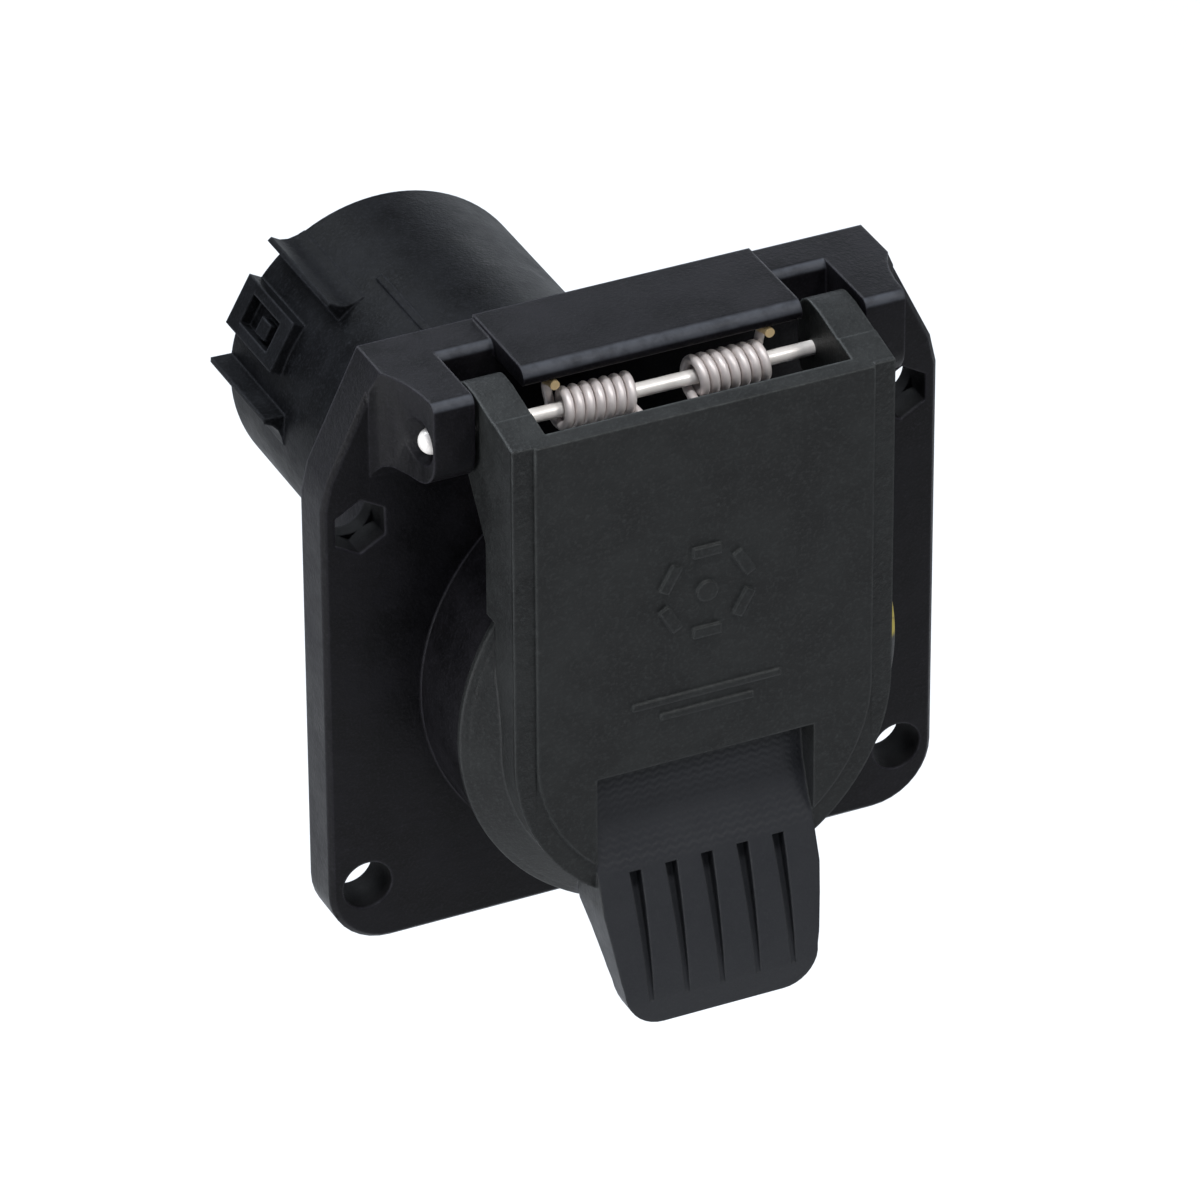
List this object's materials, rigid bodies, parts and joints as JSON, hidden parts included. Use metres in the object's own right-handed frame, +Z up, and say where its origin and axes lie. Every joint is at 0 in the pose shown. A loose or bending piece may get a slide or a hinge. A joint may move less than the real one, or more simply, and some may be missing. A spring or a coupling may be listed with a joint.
{
  "type": "trailer wiring connector",
  "caption": "Round multi-contact trailer socket on a bolt-on flange, with a sprung hinged lid and thumb tab, and a round latching harness connector behind.",
  "frame": {"origin": "centre of the four mounting holes, on the back face of the flange", "axes": "+Z up towards the hinge, -Y out of the open front, +Y along the bores towards the harness"},
  "size_m": [0.0666, 0.0818, 0.0696],
  "materials": {
    "black_housing": "moulded black glass-filled nylon, faint satin sheen",
    "black_shell": "moulded black nylon, faint satin sheen",
    "black_lid": "moulded black nylon, fine grain, worn edges",
    "insulator": "black moulded insulator",
    "seal_rubber": "soft black rubber",
    "terminal_brass": "bright stamped brass",
    "pin_steel": "drawn steel pin",
    "spring_steel": "drawn spring wire"
  },
  "bodies": {
    "socket": {"housing": "black_housing", "rear_shell": "black_shell", "shell_gasket": "seal_rubber", "contact_block": "insulator", "terminal_center": "terminal_brass", "terminal_battery_feed": "terminal_brass", "terminal_right_turn": "terminal_brass", "terminal_brake": "terminal_brass", "terminal_ground": "terminal_brass", "terminal_left_turn": "terminal_brass", "terminal_tail_light": "terminal_brass", "terminal_retainer": "insulator", "connector_seal": "seal_rubber", "hinge_pin": "pin_steel", "spring_left": "spring_steel", "spring_right": "spring_steel"},
    "lid": {"lid": "black_lid", "lid_gasket": "seal_rubber"}
  },
  "joints": [
    {"name": "lid_hinge", "type": "hinge", "parent": "socket", "child": "lid", "pos_m": [0, -0.0112, 0.0327], "axis": [-1, 0, 0], "range_deg": [0, 105], "stiffness_Nm_per_rad": 0.05, "springref_deg": -34.38, "deforming": ["spring_left", "spring_right"]}
  ]
}
